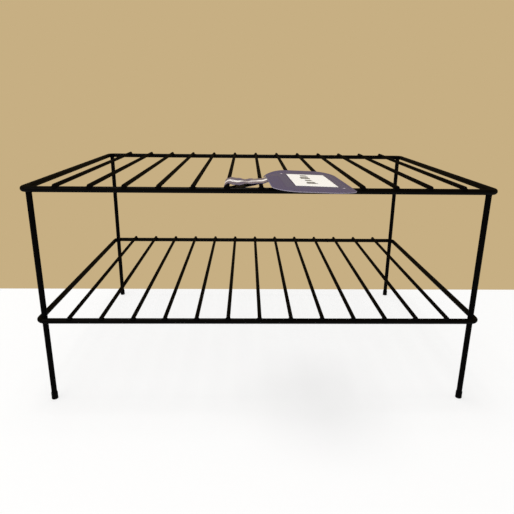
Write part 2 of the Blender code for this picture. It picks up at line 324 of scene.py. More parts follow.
def wire_profile(length, radius):
    """Half section of a straight coated wire with its cut ends' soft edges."""
    core = radius - COAT_EDGE
    end = [(core * END_RIM, 0), (core * END_FLAT, 0)]
    for step in range(COAT_EDGE_STEPS + 1):
        angle = pi / 2 * step / COAT_EDGE_STEPS
        end.append((core + COAT_EDGE * sin(angle), COAT_EDGE * (1 - cos(angle))))
    end.append((radius, COAT_EDGE * SIDE_START))
    middle = [(radius, length * run / SIDE_RUNS) for run in range(1, SIDE_RUNS)]
    other = [(r, length - z) for r, z in reversed(end)]
    return end + middle + other


def moved(vertices, matrix):
    """Vertices carried by a matrix."""
    m = np.array(matrix)
    return vertices @ m[:3, :3].T + m[:3, 3]


def joined(parts):
    """Several (vertices, faces) as one."""
    all_vertices, all_faces, start = [], [], 0
    for vertices, faces in parts:
        all_vertices.append(vertices)
        all_faces += [tuple(i + start for i in face) for face in faces]
        start += len(vertices)
    return np.concatenate(all_vertices), all_faces


def rounded_outline(width, length, radius, steps, runs_x, runs_y):
    """Points and outward normals round a rectangle with round corners.

    Each corner takes steps points past its first, and the straight sides are
    cut into runs_x pieces across and runs_y along.
    """
    corners = ((1, 1), (-1, 1), (-1, -1), (1, -1))
    points, normals = [], []
    for turn, (side_x, side_y) in enumerate(corners):
        middle = np.array((side_x * (width / 2 - radius), side_y * (length / 2 - radius)))
        for step in range(steps + 1):
            angle = pi / 2 * (turn + step / steps)
            normal = np.array((cos(angle), sin(angle)))
            points.append(middle + radius * normal)
            normals.append(normal)
        next_x, next_y = corners[(turn + 1) % 4]
        following = np.array((next_x * (width / 2 - radius), next_y * (length / 2 - radius)))
        runs = runs_x if turn % 2 == 0 else runs_y
        for run in range(1, runs):
            between = middle + (following - middle) * run / runs
            points.append(between + radius * normal)
            normals.append(normal)
    return np.array(points), np.array(normals)


# Wires

def ring_mesh(height):
    """One ring of heavy wire, swept round its four bends, with its butt weld."""
    points, normals = rounded_outline(RING_WIDTH, RING_DEPTH, CORNER_RADIUS,
                                      steps=14, runs_x=96, runs_y=20)
    vertices = []
    for point, normal in zip(points, normals):
        swell = 0.0
        in_rear_run = point[1] > 0 and abs(normal[0]) < 1e-6
        if in_rear_run:
            off = (point[0] - BUTT_WELD_X) / BUTT_WELD_REACH
            swell = BUTT_WELD_SWELL * np.exp(-off ** 2)
        radius = FRAME_RADIUS + swell
        for side in range(HEAVY_SIDES):
            angle = 2 * pi * side / HEAVY_SIDES
            across = radius * cos(angle)
            vertices.append((point[0] + normal[0] * across, point[1] + normal[1] * across,
                             radius * sin(angle)))
    faces = grid_faces(len(points), HEAVY_SIDES, True, True)
    middle = np.array((0, RACK_MIDDLE_Y, height))
    return np.array(vertices) + middle, faces


def add_rings(material):
    """The ring of each shelf."""
    for name, height in SHELF_HEIGHTS.items():
        vertices, faces = ring_mesh(height)
        add_object(f"{name}_ring_wire", vertices, faces, material, "rack",
                   [f"{name}_frame"])


def add_bars(material):
    """The crossbars of both shelves, each its own wire."""
    length = RACK_DEPTH - 2 * BAR_END_SETBACK
    vertices, faces = lathe(wire_profile(length, BAR_RADIUS), WIRE_SIDES)
    lie = Matrix.Rotation(-pi / 2, 4, "X")
    for name, height in SHELF_HEIGHTS.items():
        for number in range(1, BARS_PER_SHELF + 1):
            start = Matrix.Translation((bar_x(number), RACK_MIDDLE_Y - length / 2,
                                        height + BAR_RISE))
            add_object(f"{name}_crossbar_{number:02d}", moved(vertices, start @ lie), faces,
                       material, "rack", [f"{name}_bar_{number:02d}"])


def corner_places():
    """Each corner's name, side signs and leg centre."""
    reach_x = RING_WIDTH / 2 - LEG_INSET
    reach_y = RING_DEPTH / 2 - LEG_INSET
    for row, side_y in (("front", -1), ("rear", 1)):
        for side, side_x in (("left", -1), ("right", 1)):
            place = (side_x * reach_x, RACK_MIDDLE_Y + side_y * reach_y)
            yield f"{row}_{side}", side_x, side_y, place


def cap_profile():
    """A cap's half section, from its bore's floor up, over the lip and down."""
    lip_middle = (CAP_BORE_RADIUS + CAP_RADIUS) / 2
    lip = (CAP_RADIUS - CAP_BORE_RADIUS) / 2
    waist = CAP_RADIUS - CAP_WAIST
    points = [(CAP_BORE_RADIUS * END_RIM, CAP_FLOOR), (CAP_BORE_RADIUS, CAP_FLOOR),
              (CAP_BORE_RADIUS, CAP_LENGTH - CAP_BORE_RUN)]
    for step in range(CAP_LIP_STEPS + 1):
        angle = pi - pi * step / CAP_LIP_STEPS
        points.append((lip_middle + lip * cos(angle), CAP_LENGTH - lip + lip * sin(angle)))
    points += [(CAP_RADIUS, CAP_LENGTH - lip - CAP_LIP_FOOT),
               (waist, CAP_LENGTH - lip - CAP_WAIST_TOP)]
    points += [(waist, CAP_LENGTH * share) for share in CAP_WAIST_RINGS]
    points.append((CAP_RADIUS, CAP_EDGE * 2))
    for step in range(CAP_EDGE_STEPS + 1):
        angle = pi / 2 * step / CAP_EDGE_STEPS
        across = CAP_RADIUS - CAP_EDGE + CAP_EDGE * cos(angle)
        points.append((across, CAP_EDGE - CAP_EDGE * sin(angle)))
    points.append(((CAP_RADIUS - CAP_EDGE) * END_RIM, 0))
    return points


def add_legs(coat, vinyl):
    """The legs and the vinyl caps pushed over their ends."""
    bottom = CAP_FLOOR + CLEARANCE
    leg, leg_faces = lathe(wire_profile(LEG_TOP - bottom, LEG_RADIUS), HEAVY_SIDES)
    cap, cap_faces = lathe(cap_profile(), HEAVY_SIDES)
    cap_faces = flipped(cap_faces)
    for place, _, _, (x, y) in corner_places():
        add_object(f"leg_wire_{place}", leg + np.array((x, y, bottom)), leg_faces, coat,
                   "rack", [f"leg_{place}"])
        add_object(f"vinyl_cap_{place}", cap + np.array((x, y, 0)), cap_faces, vinyl,
                   "rack", [f"foot_cap_{place}"])


# Welds

def blended(a, b, width):
    """Distance to two solids flowing into each other over a width."""
    h = np.clip(0.5 + 0.5 * (b - a) / width, 0, 1)
    return b * (1 - h) + a * h - width * h * (1 - h)


def bead(distance, centre, rows=26, columns=40):
    """A weld's surface: rays from its middle out to where distance is zero."""
    latitudes = np.linspace(0, pi, rows)[1:-1]
    longitudes = np.linspace(0, 2 * pi, columns, endpoint=False)
    directions = [(0, 0, 1)]
    for a in latitudes:
        directions += [(sin(a) * cos(b), sin(a) * sin(b), cos(a)) for b in longitudes]
    directions.append((0, 0, -1))
    directions = np.array(directions)
    lengths = np.linspace(0, WELD_REACH, REACH_STEPS)
    inside = np.array([distance(centre + directions * length) < 0 for length in lengths])
    left = (~inside[1:]).argmax(0) + 1
    left[inside[1:].all(0)] = len(lengths) - 1
    low = lengths[left - 1]
    high = lengths[left]
    for _ in range(REACH_HALVINGS):
        half = (low + high) / 2
        within = distance(centre + directions * half[:, None]) < 0
        low = np.where(within, half, low)
        high = np.where(within, high, half)
    vertices = centre + directions * low[:, None]
    middle_rows = rows - 2
    faces = [tuple(i + 1 for i in face)
             for face in grid_faces(middle_rows, columns, False, True)]
    last = 1 + middle_rows * columns
    start = last - columns
    for column in range(columns):
        following = (column + 1) % columns
        faces.append((0, 1 + column, 1 + following))
        faces.append((last, start + following, start + column))
    return vertices, faces


def crossing_ripple(x, y, seed):
    """Waves of 1.5 to 2.5 mm over a crossing's weld, other ones for each seed."""
    return (np.sin(x * 2900 + seed * 2.1) * np.sin(y * 2500 + seed * 4.7)
            + np.sin((x + y) * 4300 + seed * 1.3) * 0.5)


def corner_ripple(x, z, seed):
    """Waves of 2 to 3 mm over a leg's weld, other ones for each seed."""
    return np.sin(z * 2700 + seed * 3.1) * np.sin(x * 2100 + seed)


def crossing_bead(seed):
    """The weld where a bar crosses a ring's rear run, ring wire along X."""
    bar_end = RACK_DEPTH / 2 - BAR_END_SETBACK - RING_DEPTH / 2

    def distance(p):
        x, y, z = p.T
        ring = np.hypot(y, z) - (FRAME_RADIUS - WELD_SINK)
        bar = np.hypot(x, z - BAR_RISE) - (BAR_RADIUS - WELD_SINK)
        bar = np.maximum(bar, y - bar_end + COAT_EDGE)
        uneven = 1 + WELD_UNEVEN * crossing_ripple(x, y, seed)
        return blended(ring, bar, WELD_BLEND * uneven)

    middle = np.array((0, 0, FRAME_RADIUS + CLEARANCE / 2))
    return bead(distance, middle)


def corner_bead(seed, leg_top):
    """The weld between a leg and a ring's bend, for the +X +Y corner."""
    half_x = RING_WIDTH / 2 - CORNER_RADIUS
    half_y = RING_DEPTH / 2 - CORNER_RADIUS
    leg_x = RING_WIDTH / 2 - LEG_INSET
    leg_y = RING_DEPTH / 2 - LEG_INSET

    def distance(p):
        x, y, z = p.T
        past_x = np.abs(x) - half_x
        past_y = np.abs(y) - half_y
        outside = np.hypot(np.maximum(past_x, 0), np.maximum(past_y, 0))
        line = np.abs(outside + np.minimum(np.maximum(past_x, past_y), 0) - CORNER_RADIUS)
        ring = np.hypot(line, z) - (FRAME_RADIUS - WELD_SINK)
        leg = np.hypot(x - leg_x, y - leg_y) - (LEG_RADIUS - WELD_SINK)
        leg = np.maximum(leg, z - leg_top + COAT_EDGE)
        uneven = 1 + LEG_WELD_UNEVEN * corner_ripple(x, z, seed)
        return blended(ring, leg, LEG_WELD_BLEND * uneven)

    out = (CORNER_RADIUS - FRAME_RADIUS + LEG_NEST + LEG_RADIUS) / 2 / sqrt(2)
    middle = np.array((half_x + out, half_y + out, 0))
    return bead(distance, middle)


def mirrored(vertices, faces, side_x, side_y):
    """A mesh turned over to the sides that the signs give."""
    vertices = vertices * np.array((side_x, side_y, 1))
    return vertices, flipped(faces) if side_x * side_y < 0 else faces


def add_welds(material):
    """A shelf's crossing welds as one piece and its leg welds as another.

    They ride on the rack with no CAD node of their own: they are one metal
    with its wires.
    """
    crossings = [crossing_bead(seed) for seed in range(WELD_VARIANTS)]
    for name, height in SHELF_HEIGHTS.items():
        parts = []
        for number in range(1, BARS_PER_SHELF + 1):
            for side in (-1, 1):
                variant = (number * 3 + (side > 0) * 2 + (name == "upper")) % WELD_VARIANTS
                vertices, faces = mirrored(*crossings[variant], 1, side)
                rail_y = RACK_MIDDLE_Y + side * RING_DEPTH / 2
                parts.append((vertices + np.array((bar_x(number), rail_y, height)), faces))
        vertices, faces = joined(parts)
        add_object(f"{name}_crossing_welds", vertices, faces, material, "rack")
        parts = []
        for index, (_, side_x, side_y, _) in enumerate(corner_places()):
            vertices, faces = mirrored(*corner_bead(index, LEG_TOP - height), side_x, side_y)
            parts.append((vertices + np.array((0, RACK_MIDDLE_Y, height)), faces))
        vertices, faces = joined(parts)
        add_object(f"{name}_leg_welds", vertices, faces, material, "rack")


# The hang tag

def card_reach():
    """Half the room that the card takes along its length, as it lies askew."""
    straight_length = CARD_LENGTH / 2 - CARD_CORNER
    straight_width = CARD_WIDTH / 2 - CARD_CORNER
    askew = abs(CARD_TURN)
    return straight_length * cos(askew) + straight_width * sin(askew) + CARD_CORNER


def card_matrix():
    """Where the card's middle is and how it lies, on the strap and bar 9."""
    tilt = Matrix.Rotation(CARD_SLOPE, 4, "Y")
    support = Vector((CARD_START + STRAP_LAP, RACK_MIDDLE_Y,
                      SHELF_HEIGHTS["upper"] + BAR_RISE + BAR_RADIUS + STRAP_RISE + CLEARANCE))
    card_y = -RACK_DEPTH / 2 - CARD_OVERHANG + card_reach()
    middle = support + tilt.to_3x3() @ Vector((CARD_WIDTH / 2 - STRAP_LAP, card_y,
                                               CARD_STOCK / 2))
    return Matrix.Translation(middle) @ tilt @ Matrix.Rotation(CARD_TURN, 4, "Z")


def card_bend(x, y):
    """How far the card bends out of its plane, in the card's own frame.

    It lies on the strap's ends and on bar 9. Its right edge hangs down past
    that bar and its rear left corner hangs between bars 7 and 8.
    """
    right = np.maximum(x - RIGHT_REST, 0) ** 2
    left = np.maximum(LEFT_REST - x, 0) ** 2 * smooth(SAG_START, SAG_FULL, y)
    return -RIGHT_DROOP * right - LEFT_DROOP * left


def outline_inset(outline, inset):
    """An outline moved inwards by a little."""
    before = np.roll(outline, 1, 0)
    after = np.roll(outline, -1, 0)
    along = after - before
    along /= np.linalg.norm(along, axis=1)[:, None]
    inward = np.column_stack((-along[:, 1], along[:, 0]))
    return outline + inward * inset


def inside_by(outline, point):
    """How far a point is inside a convex outline, less than 0 if outside."""
    edge = np.roll(outline, -1, 0) - outline
    edge /= np.maximum(np.linalg.norm(edge, axis=1), 1e-9)[:, None]
    to_point = point - outline
    return (edge[:, 0] * to_point[:, 1] - edge[:, 1] * to_point[:, 0]).min()


def free_points(outline):
    """Points spread evenly inside an outline, clear of its rim."""
    low, high = outline.min(0), outline.max(0)
    columns = int((high[0] - low[0]) / SHEET_SPACING)
    rows = int((high[1] - low[1]) / SHEET_SPACING)
    points = []
    for column in range(columns + 1):
        for row in range(rows + 1):
            share = ((column + 0.5) / (columns + 1), (row + 0.5) / (rows + 1))
            point = low + (high - low) * share
            if inside_by(outline, point) > SHEET_SPACING * RIM_MARGIN:
                points.append(point)
    return points


def sheet_mesh(outline, base, stock, rounding):
    """A thin bent sheet from its outline, its underside base over the plane.

    Returns its vertices, faces and, for each face, whether it is on top, on
    the cut edge or underneath.
    """
    inner = outline_inset(outline, rounding)
    count = len(inner)
    points = [Vector(point) for point in [*inner, *free_points(inner)]]
    inside_only, merge_distance = 1, 1e-7
    found, _, triangles, *_ = geometry.delaunay_2d_cdt(
        points, [], [list(range(count))], inside_only, merge_distance)
    flat = np.array([(v.x, v.y) for v in found])
    total = len(flat)
    bend = card_bend(flat[:, 0], flat[:, 1])
    under = np.column_stack((flat, bend + base))
    over = np.column_stack((flat, bend + base + stock))
    rim = card_bend(outline[:, 0], outline[:, 1])
    low_rim = np.column_stack((outline, rim + base + rounding))
    high_rim = np.column_stack((outline, rim + base + stock - rounding))
    vertices = np.concatenate((under, over, low_rim, high_rim))
    faces, kinds = [], []
    for face in triangles:
        faces.append(tuple(reversed(face)))
        faces.append(tuple(i + total for i in face))
        kinds += [UNDER, TOP]
    starts = (0, 2 * total, 2 * total + count, total)
    for lower, upper in zip(starts, starts[1:]):
        for i in range(count):
            j = (i + 1) % count
            faces.append((lower + i, lower + j, upper + j, upper + i))
            kinds.append(CUT)
    return vertices, faces, kinds


def strap_path():
    """The strap's centre line seen from the front, in its bar's own frame.

    It starts under the card, comes down onto the next bar, dips, goes round
    its own bar with slack and comes back beneath itself.
    """
    layer = FILM_STOCK + FILM_GAP
    lower = BAR_RADIUS + FILM_GAP + FILM_STOCK / 2
    upper = lower + FILM_STOCK + FILM_GAP
    start = bar_x(MIDDLE_BAR) + CARD_START - bar_x(TAG_BAR)
    end = start + STRAP_LAP
    card = BAR_RADIUS + STRAP_RISE + CLEARANCE - FILM_GAP - FILM_STOCK / 2
    rise = STRAP_LAP * CARD_SLOPE
    left = -(BAR_RADIUS + CLEARANCE + STRAP_STOCK)
    drop = left - LOOP_DROP
    under_card = [(end, card), (start + STRAP_BEND, card + rise * 0.6),
                  (start, card + rise * 0.85)]
    over_gap = [(share * STRAP_SPAN, upper + height) for share, height in STRAP_TOP]
    round_bar = [(left, LOOP_SHOULDER), (left, drop / 2), (0, drop)]
    back = [(share * STRAP_SPAN, height)
            for share, height in ((0.10, drop), (0.33, drop * 0.55), (0.57, -0.0008),
                                  (0.80, 0.0006), (0.985, lower), (1.06, lower + 0.0001))]
    below = [(x, z - layer) for x, z in reversed(under_card)]
    return under_card + over_gap + round_bar + back + below


def smooth_path(points, steps):
    """The points joined by Blender's own automatic Bezier curve."""
    curve = bpy.data.curves.new("path", "CURVE")
    curve.dimensions = "2D"
    curve.fill_mode = "NONE"
    curve.resolution_u = steps
    spline = curve.splines.new("BEZIER")
    spline.bezier_points.add(len(points) - 1)
    for point, (x, z) in zip(spline.bezier_points, points):
        point.co = (x, z, 0)
        point.handle_left_type = "AUTO"
        point.handle_right_type = "AUTO"
    carrier = bpy.data.objects.new("path", curve)
    bpy.context.scene.collection.objects.link(carrier)
    bpy.context.view_layer.update()
    evaluated = carrier.evaluated_get(bpy.context.evaluated_depsgraph_get())
    mesh = evaluated.to_mesh()
    path = np.array([(v.co.x, v.co.y) for v in mesh.vertices])
    evaluated.to_mesh_clear()
    bpy.data.objects.remove(carrier)
    bpy.data.curves.remove(curve)
    return path


def strap_looseness(path):
    """How freely each point of the film crumples, and how far it leans there.

    The far edge stands higher than the near one where the film comes off its
    bar. The film's way back under itself is straight.
    """
    x, z = path.T
    share = x / STRAP_SPAN
    upper = np.arange(len(path)) < len(path) * UPPER_SHARE
    free = np.where(upper, smooth(*FREE_START, share) * (1 - smooth(*FREE_END, share)), 0)
    lean = np.where(upper, np.interp(share, LEAN_SHARES, LEAN_RISES), FILM_LEAN)
    lean *= np.where(x < STRAP_SPAN / 2, smooth(-BAR_RADIUS, BAR_RADIUS, z), 1)
    lean *= np.where(upper | (x < 0), 1, 0)
    return free, lean


def strap_mesh():
    """The band of film as a thin closed solid, rows along its path.

    Returns its vertices, faces and, for each face, whether it is on the outer
    or the inner side. The edges go with the outer side.
    """
    path = smooth_path(strap_path(), PATH_STEPS)
    tangent = np.gradient(path, axis=0)
    tangent /= np.linalg.norm(tangent, axis=1)[:, None]
    outward = np.column_stack((tangent[:, 1], -tangent[:, 0]))
    shares = np.linspace(-1, 1, ACROSS_STEPS + 1)
    shares = np.sign(shares) * np.abs(shares) ** ACROSS_EASE
    y = shares * STRAP_WIDTH / 2
    outer_rows, inner_rows = [], []
    for (x, z), (nx, nz), free, lean in zip(path, outward, *strap_looseness(path)):
        crumple = free * sum(depth * np.sin(x * along + y * across)
                             for depth, along, across in CRUMPLES)
        for rows, lift in ((outer_rows, FILM_STOCK / 2), (inner_rows, -FILM_STOCK / 2)):
            rows.append(np.column_stack((x + nx * (lift + crumple), y,
                                         z + nz * (lift + crumple) + lean * shares)))
    vertices = np.concatenate(outer_rows + inner_rows)
    count = ACROSS_STEPS + 1
    rows = len(path)
    half = rows * count
    faces, kinds = [], []
    for row in range(rows - 1):
        for column in range(ACROSS_STEPS):
            a = row * count + column
            b, c, d = a + 1, a + count + 1, a + count
            faces += [(a, b, c, d), (a + half, d + half, c + half, b + half)]
            kinds += [OUTER, INNER]
        for column in (0, ACROSS_STEPS):
            a = row * count + column
            d = a + count
            side = (a, d, d + half, a + half)
            faces.append(side if column == 0 else tuple(reversed(side)))
            kinds.append(OUTER)
    for row in (0, rows - 1):
        for column in range(ACROSS_STEPS):
            a = row * count + column
            side = (a, a + half, a + half + 1, a + 1)
            faces.append(side if row == 0 else tuple(reversed(side)))
            kinds.append(OUTER)
    return vertices, faces, kinds


def set_kinds(piece, kinds):
    """Give each face its material."""
    piece.data.polygons.foreach_set("material_index", kinds)
    piece.data.update()


def add_sheet(name, outline, base, stock, rounding, material, nodes, lie):
    """A sheet that lies on or over the card's plane and bends with the card."""
    vertices, faces, kinds = sheet_mesh(outline, base, stock, rounding)
    piece = add_object(name, vertices, faces, material, "hang_tag", nodes, lie)
    if isinstance(material, list):
        set_kinds(piece, kinds)


def rectangle(width, length, corner, x, y, steps=5, runs_x=12, runs_y=24):
    """An outline round a point in the card's frame."""
    points, _ = rounded_outline(width, length, corner, steps, runs_x, runs_y)
    return points + np.array((x, y))


def add_dots(material, lie):
    """Two small domes pressed into the card at opposite corners of its label."""
    profile = [(DOT_RADIUS, -DOT_RISE)]
    for step in range(DOT_STEPS):
        angle = pi / 2 * step / DOT_STEPS
        profile.append((DOT_RADIUS * cos(angle), DOT_RISE * sin(angle)))
    dome, faces = lathe(profile, DOT_SIDES)
    parts = []
    for x, y in DOT_PLACES:
        base = CARD_STOCK / 2 + float(card_bend(x, y))
        parts.append((dome + np.array((x, y, base)), faces))
    vertices, faces = joined(parts)
    add_object("tag_card_dots", vertices, faces, material, "hang_tag", (), lie)


def add_tag(materials):
    """The card, its label with plain rules, two pressed dots and the strap."""
    lie = card_matrix()
    outline = rectangle(CARD_WIDTH, CARD_LENGTH, CARD_CORNER, 0, 0,
                        steps=16, runs_x=10, runs_y=32)
    add_sheet("tag_card_sheet", outline, -CARD_STOCK / 2, CARD_STOCK, CARD_ROUNDING,
              materials["card"], ["tag_card"], lie)
    outline = rectangle(LABEL_WIDTH, LABEL_LENGTH, LABEL_CORNER, LABEL_ACROSS, LABEL_ALONG)
    base = CARD_STOCK / 2 + LABEL_LIFT
    add_sheet("tag_label_paper", outline, base, LABEL_PAPER, LABEL_ROUNDING,
              materials["label"], ["tag_label"], lie)
    base += LABEL_PAPER + RULE_LIFT
    for number, (x, y, width, length) in enumerate(RULES, 1):
        outline = rectangle(width, length, RULE_CORNER, LABEL_ACROSS + x, LABEL_ALONG + y,
                            steps=3, runs_x=6, runs_y=2)
        add_sheet(f"tag_label_rule_{number}", outline, base, RULE_STOCK, RULE_ROUNDING,
                  materials["ink"], (), lie)
    add_dots(materials["dots"], lie)

    vertices, faces, kinds = strap_mesh()
    y = RACK_MIDDLE_Y - RACK_DEPTH / 2 + 2 * FRAME_RADIUS + STRAP_SETBACK + STRAP_WIDTH / 2
    place = Matrix.Translation((bar_x(TAG_BAR), y, SHELF_HEIGHTS["upper"] + BAR_RISE))
    strap = add_object("tag_strap_film", vertices, faces, materials["strap"], "hang_tag",
                       ["tag_strap"], place)
    set_kinds(strap, kinds)


# Nodes. A place is in metres and fixed to its piece.

def new_material(name, colour, roughness):
    """A Principled material, with its node tree and shader."""
    material = bpy.data.materials.new(name)
    material.use_nodes = True
    tree = material.node_tree
    shader = tree.nodes["Principled BSDF"]
    shader.inputs["Base Color"].default_value = (*colour, 1)
    shader.inputs["Roughness"].default_value = roughness
    return material, tree, shader


def place_node(tree):
    """Coordinates fixed to the piece."""
    return tree.nodes.new("ShaderNodeTexCoord").outputs["Object"]


def split_node(tree, place):
    """A place's X, Y and Z."""
    node = tree.nodes.new("ShaderNodeSeparateXYZ")
    tree.links.new(place, node.inputs["Vector"])
    return node.outputs["X"], node.outputs["Y"], node.outputs["Z"]


def noise_node(tree, place, scale, detail=3.0, rough=0.5):
    """Noise with a given number of features to the metre."""
    node = tree.nodes.new("ShaderNodeTexNoise")
    node.inputs["Scale"].default_value = scale
    node.inputs["Detail"].default_value = detail
    node.inputs["Roughness"].default_value = rough
    tree.links.new(place, node.inputs["Vector"])
    return node.outputs["Fac"]


def ramp_node(tree, value, stops):
    """A colour ramp over (position, colour) stops."""
    node = tree.nodes.new("ShaderNodeValToRGB")
    ramp = node.color_ramp
    while len(ramp.elements) < len(stops):
        ramp.elements.new(0.5)
    for element, (position, colour) in zip(ramp.elements, stops):
        element.position = position
        element.color = (*colour, 1)
    tree.links.new(value, node.inputs["Fac"])
    return node.outputs["Color"]


def mottle_node(tree, noise, mottle, low=NOISE_LOW, high=NOISE_HIGH):
    """Noise turned into a mottle, its first colour up to low, its second from high."""
    return ramp_node(tree, noise, list(zip((low, high), mottle)))


def range_node(tree, value, low, high, to_low, to_high):
    """A value carried from one range to another."""
    node = tree.nodes.new("ShaderNodeMapRange")
    node.inputs["From Min"].default_value = low
    node.inputs["From Max"].default_value = high
    node.inputs["To Min"].default_value = to_low
    node.inputs["To Max"].default_value = to_high
    tree.links.new(value, node.inputs["Value"])
    return node.outputs["Result"]


def spread_node(tree, noise, low, high):
    """Noise carried to a range of values."""
    return range_node(tree, noise, NOISE_LOW, NOISE_HIGH, low, high)


def bump_node(tree, height, distance, strength, below=None):
    """Surface relief of a real depth, laid over another where one is given."""
    node = tree.nodes.new("ShaderNodeBump")
    node.inputs["Distance"].default_value = distance
    node.inputs["Strength"].default_value = strength
    tree.links.new(height, node.inputs["Height"])
    if below is not None:
        tree.links.new(below, node.inputs["Normal"])
    return node.outputs["Normal"]


def relief_node(tree, place, scale, detail, depth, strength, below=None):
    """Surface relief from noise of its own."""
    return bump_node(tree, noise_node(tree, place, scale, detail), depth, strength, below)


def feed(tree, socket, value):
    """Give a socket another socket, a colour or a number."""
    if isinstance(value, bpy.types.NodeSocket):
        tree.links.new(value, socket)
    elif isinstance(value, tuple):
        socket.default_value = (*value, 1)
    else:
        socket.default_value = value


def math_node(tree, operation, first, second=0):
    """One sum on two values, each a socket or a number."""
    node = tree.nodes.new("ShaderNodeMath")
    node.operation = operation
    feed(tree, node.inputs[0], first)
    feed(tree, node.inputs[1], second)
    return node.outputs["Value"]


def off_node(tree, value, middle, half):
    """How far a value is past half either side of a middle."""
    away = math_node(tree, "ABSOLUTE", math_node(tree, "SUBTRACT", value, middle))
    return math_node(tree, "SUBTRACT", away, half)


def mix_node(tree, share, first, second, blend="MIX"):
    """Two colours mixed, each a socket or a plain colour."""
    node = tree.nodes.new("ShaderNodeMix")
    node.data_type = "RGBA"
    node.blend_type = blend
    feed(tree, node.inputs["Factor"], share)
    feed(tree, node.inputs["A"], first)
    feed(tree, node.inputs["B"], second)
    return node.outputs["Result"]


def mix_shaders(tree, share, first, second, output):
    """Two shaders mixed, as what a material or world puts out."""
    node = tree.nodes.new("ShaderNodeMixShader")
    tree.links.new(share, node.inputs["Fac"])
    tree.links.new(first, node.inputs[1])
    tree.links.new(second, node.inputs[2])
    tree.links.new(node.outputs["Shader"], output.inputs["Surface"])


def background_node(tree, colour, strength):
    """Plain light from all round, for a world."""
    node = tree.nodes.new("ShaderNodeBackground")
    node.inputs["Color"].default_value = (*colour, 1)
    node.inputs["Strength"].default_value = strength
    return node.outputs["Background"]


def seen_ray(tree):
    """1 for a ray from the camera, a reflection or a clear material, else 0."""
    path = tree.nodes.new("ShaderNodeLightPath")
    either = math_node(tree, "MAXIMUM", path.outputs["Is Camera Ray"],
                       path.outputs["Is Glossy Ray"])
    return math_node(tree, "MAXIMUM", either, path.outputs["Is Transmission Ray"])


# Materials

def paint(tree, shader, colour, roughness=None, relief=None):
    """Give a shader its linked colour, roughness and relief."""
    for name, value in (("Base Color", colour), ("Roughness", roughness), ("Normal", relief)):
        if value is not None:
            tree.links.new(value, shader.inputs[name])


def coat_material(name, shine):
    """Satin black powder coat: orange peel, faint mottling, finer grain."""
    material, tree, shader = new_material(name, COAT_BLACK, 0.5)
    shader.inputs["Specular IOR Level"].default_value = 0
    shader.inputs["Coat Weight"].default_value = shine
    shader.inputs["Coat Roughness"].default_value = 0.3
    place = place_node(tree)
    mottle = noise_node(tree, place, scale=90, detail=4, rough=0.6)
    peel = relief_node(tree, place, scale=900, detail=2, depth=0.00004, strength=0.5)
    grain = relief_node(tree, place, scale=3600, detail=2, depth=0.00001, strength=0.4,
                        below=peel)
    paint(tree, shader, mottle_node(tree, mottle, COAT_MOTTLE),
          spread_node(tree, mottle, 0.45, 0.6), grain)
    tree.links.new(grain, shader.inputs["Coat Normal"])
    return material


def vinyl_material():
    """Dip-moulded vinyl: duller than the coat, scuffed at its foot."""
    material, tree, shader = new_material("black_vinyl", VINYL_BLACK, 0.6)
    shader.inputs["Specular IOR Level"].default_value = 0.02
    place = place_node(tree)
    _, _, height = split_node(tree, place)
    scuff = noise_node(tree, place, scale=1500, detail=4, rough=0.7)
    low = range_node(tree, height, 0, SCUFF_HEIGHT, 1, 0)
    low_scuff = math_node(tree, "MULTIPLY", scuff, low)
    relief = relief_node(tree, place, scale=1800, detail=3, depth=0.00003, strength=0.5)
    paint(tree, shader, mottle_node(tree, low_scuff, VINYL_MOTTLE, low=0.25, high=0.8),
          spread_node(tree, scuff, 0.5, 0.68), relief)
    return material


def printed_purple(name, roughness, shine=0.1, relief_scale=260, relief_depth=0.00006):
    """Muted purple print with a fine mottle under a clear laminate."""
    material, tree, shader = new_material(name, PURPLE, roughness)
    shader.inputs["Specular IOR Level"].default_value = shine
    place = place_node(tree)
    fibre = noise_node(tree, place, scale=700, detail=4, rough=0.6)
    colour = mottle_node(tree, fibre, PURPLE_MOTTLE)
    spread = spread_node(tree, fibre, roughness - 0.04, roughness + 0.04)
    relief = relief_node(tree, place, relief_scale, detail=3, depth=relief_depth, strength=0.35)
    paint(tree, shader, colour, spread, relief)
    return material, tree, shader, place, colour


def card_materials():
    """The laminated purple card with its frame of print, its cut edge and back."""
    face, tree, shader, place, purple = printed_purple("purple_card", roughness=0.42)
    x, y, _ = split_node(tree, place)
    outside = math_node(tree, "MAXIMUM", off_node(tree, x, LABEL_ACROSS, LABEL_WIDTH / 2),
                        off_node(tree, y, LABEL_ALONG, LABEL_LENGTH / 2))
    band = range_node(tree, outside, 0, PRINT_RUN, 0, 1)
    tint = ramp_node(tree, band, PRINT_STOPS)
    paint(tree, shader, mix_node(tree, 1, purple, tint, "MULTIPLY"))
    edge, tree, shader = new_material("card_cut_edge", CUT_EDGE, 0.8)
    fibre = noise_node(tree, place_node(tree), scale=2500, detail=3, rough=0.6)
    paint(tree, shader, mottle_node(tree, fibre, CUT_EDGE_MOTTLE))
    back, *_ = printed_purple("purple_card_back", roughness=0.5)
    return [face, edge, back]


def dot_material():
    """Small clear-lacquered dots, paler than the card."""
    material, tree, shader = new_material("pale_dot", PALE_DOT, 0.2)
    cloud = noise_node(tree, place_node(tree), scale=1500, detail=2)
    paint(tree, shader, mottle_node(tree, cloud, PALE_DOT_MOTTLE))
    return material


def label_material():
    """Off-white label paper with a faint tooth."""
    material, tree, shader = new_material("label_paper", PAPER, 0.5)
    fibre = noise_node(tree, place_node(tree), scale=1200, detail=4, rough=0.65)
    relief = bump_node(tree, fibre, distance=0.00002, strength=0.4)
    paint(tree, shader, mottle_node(tree, fibre, PAPER_MOTTLE), relief=relief)
    return material


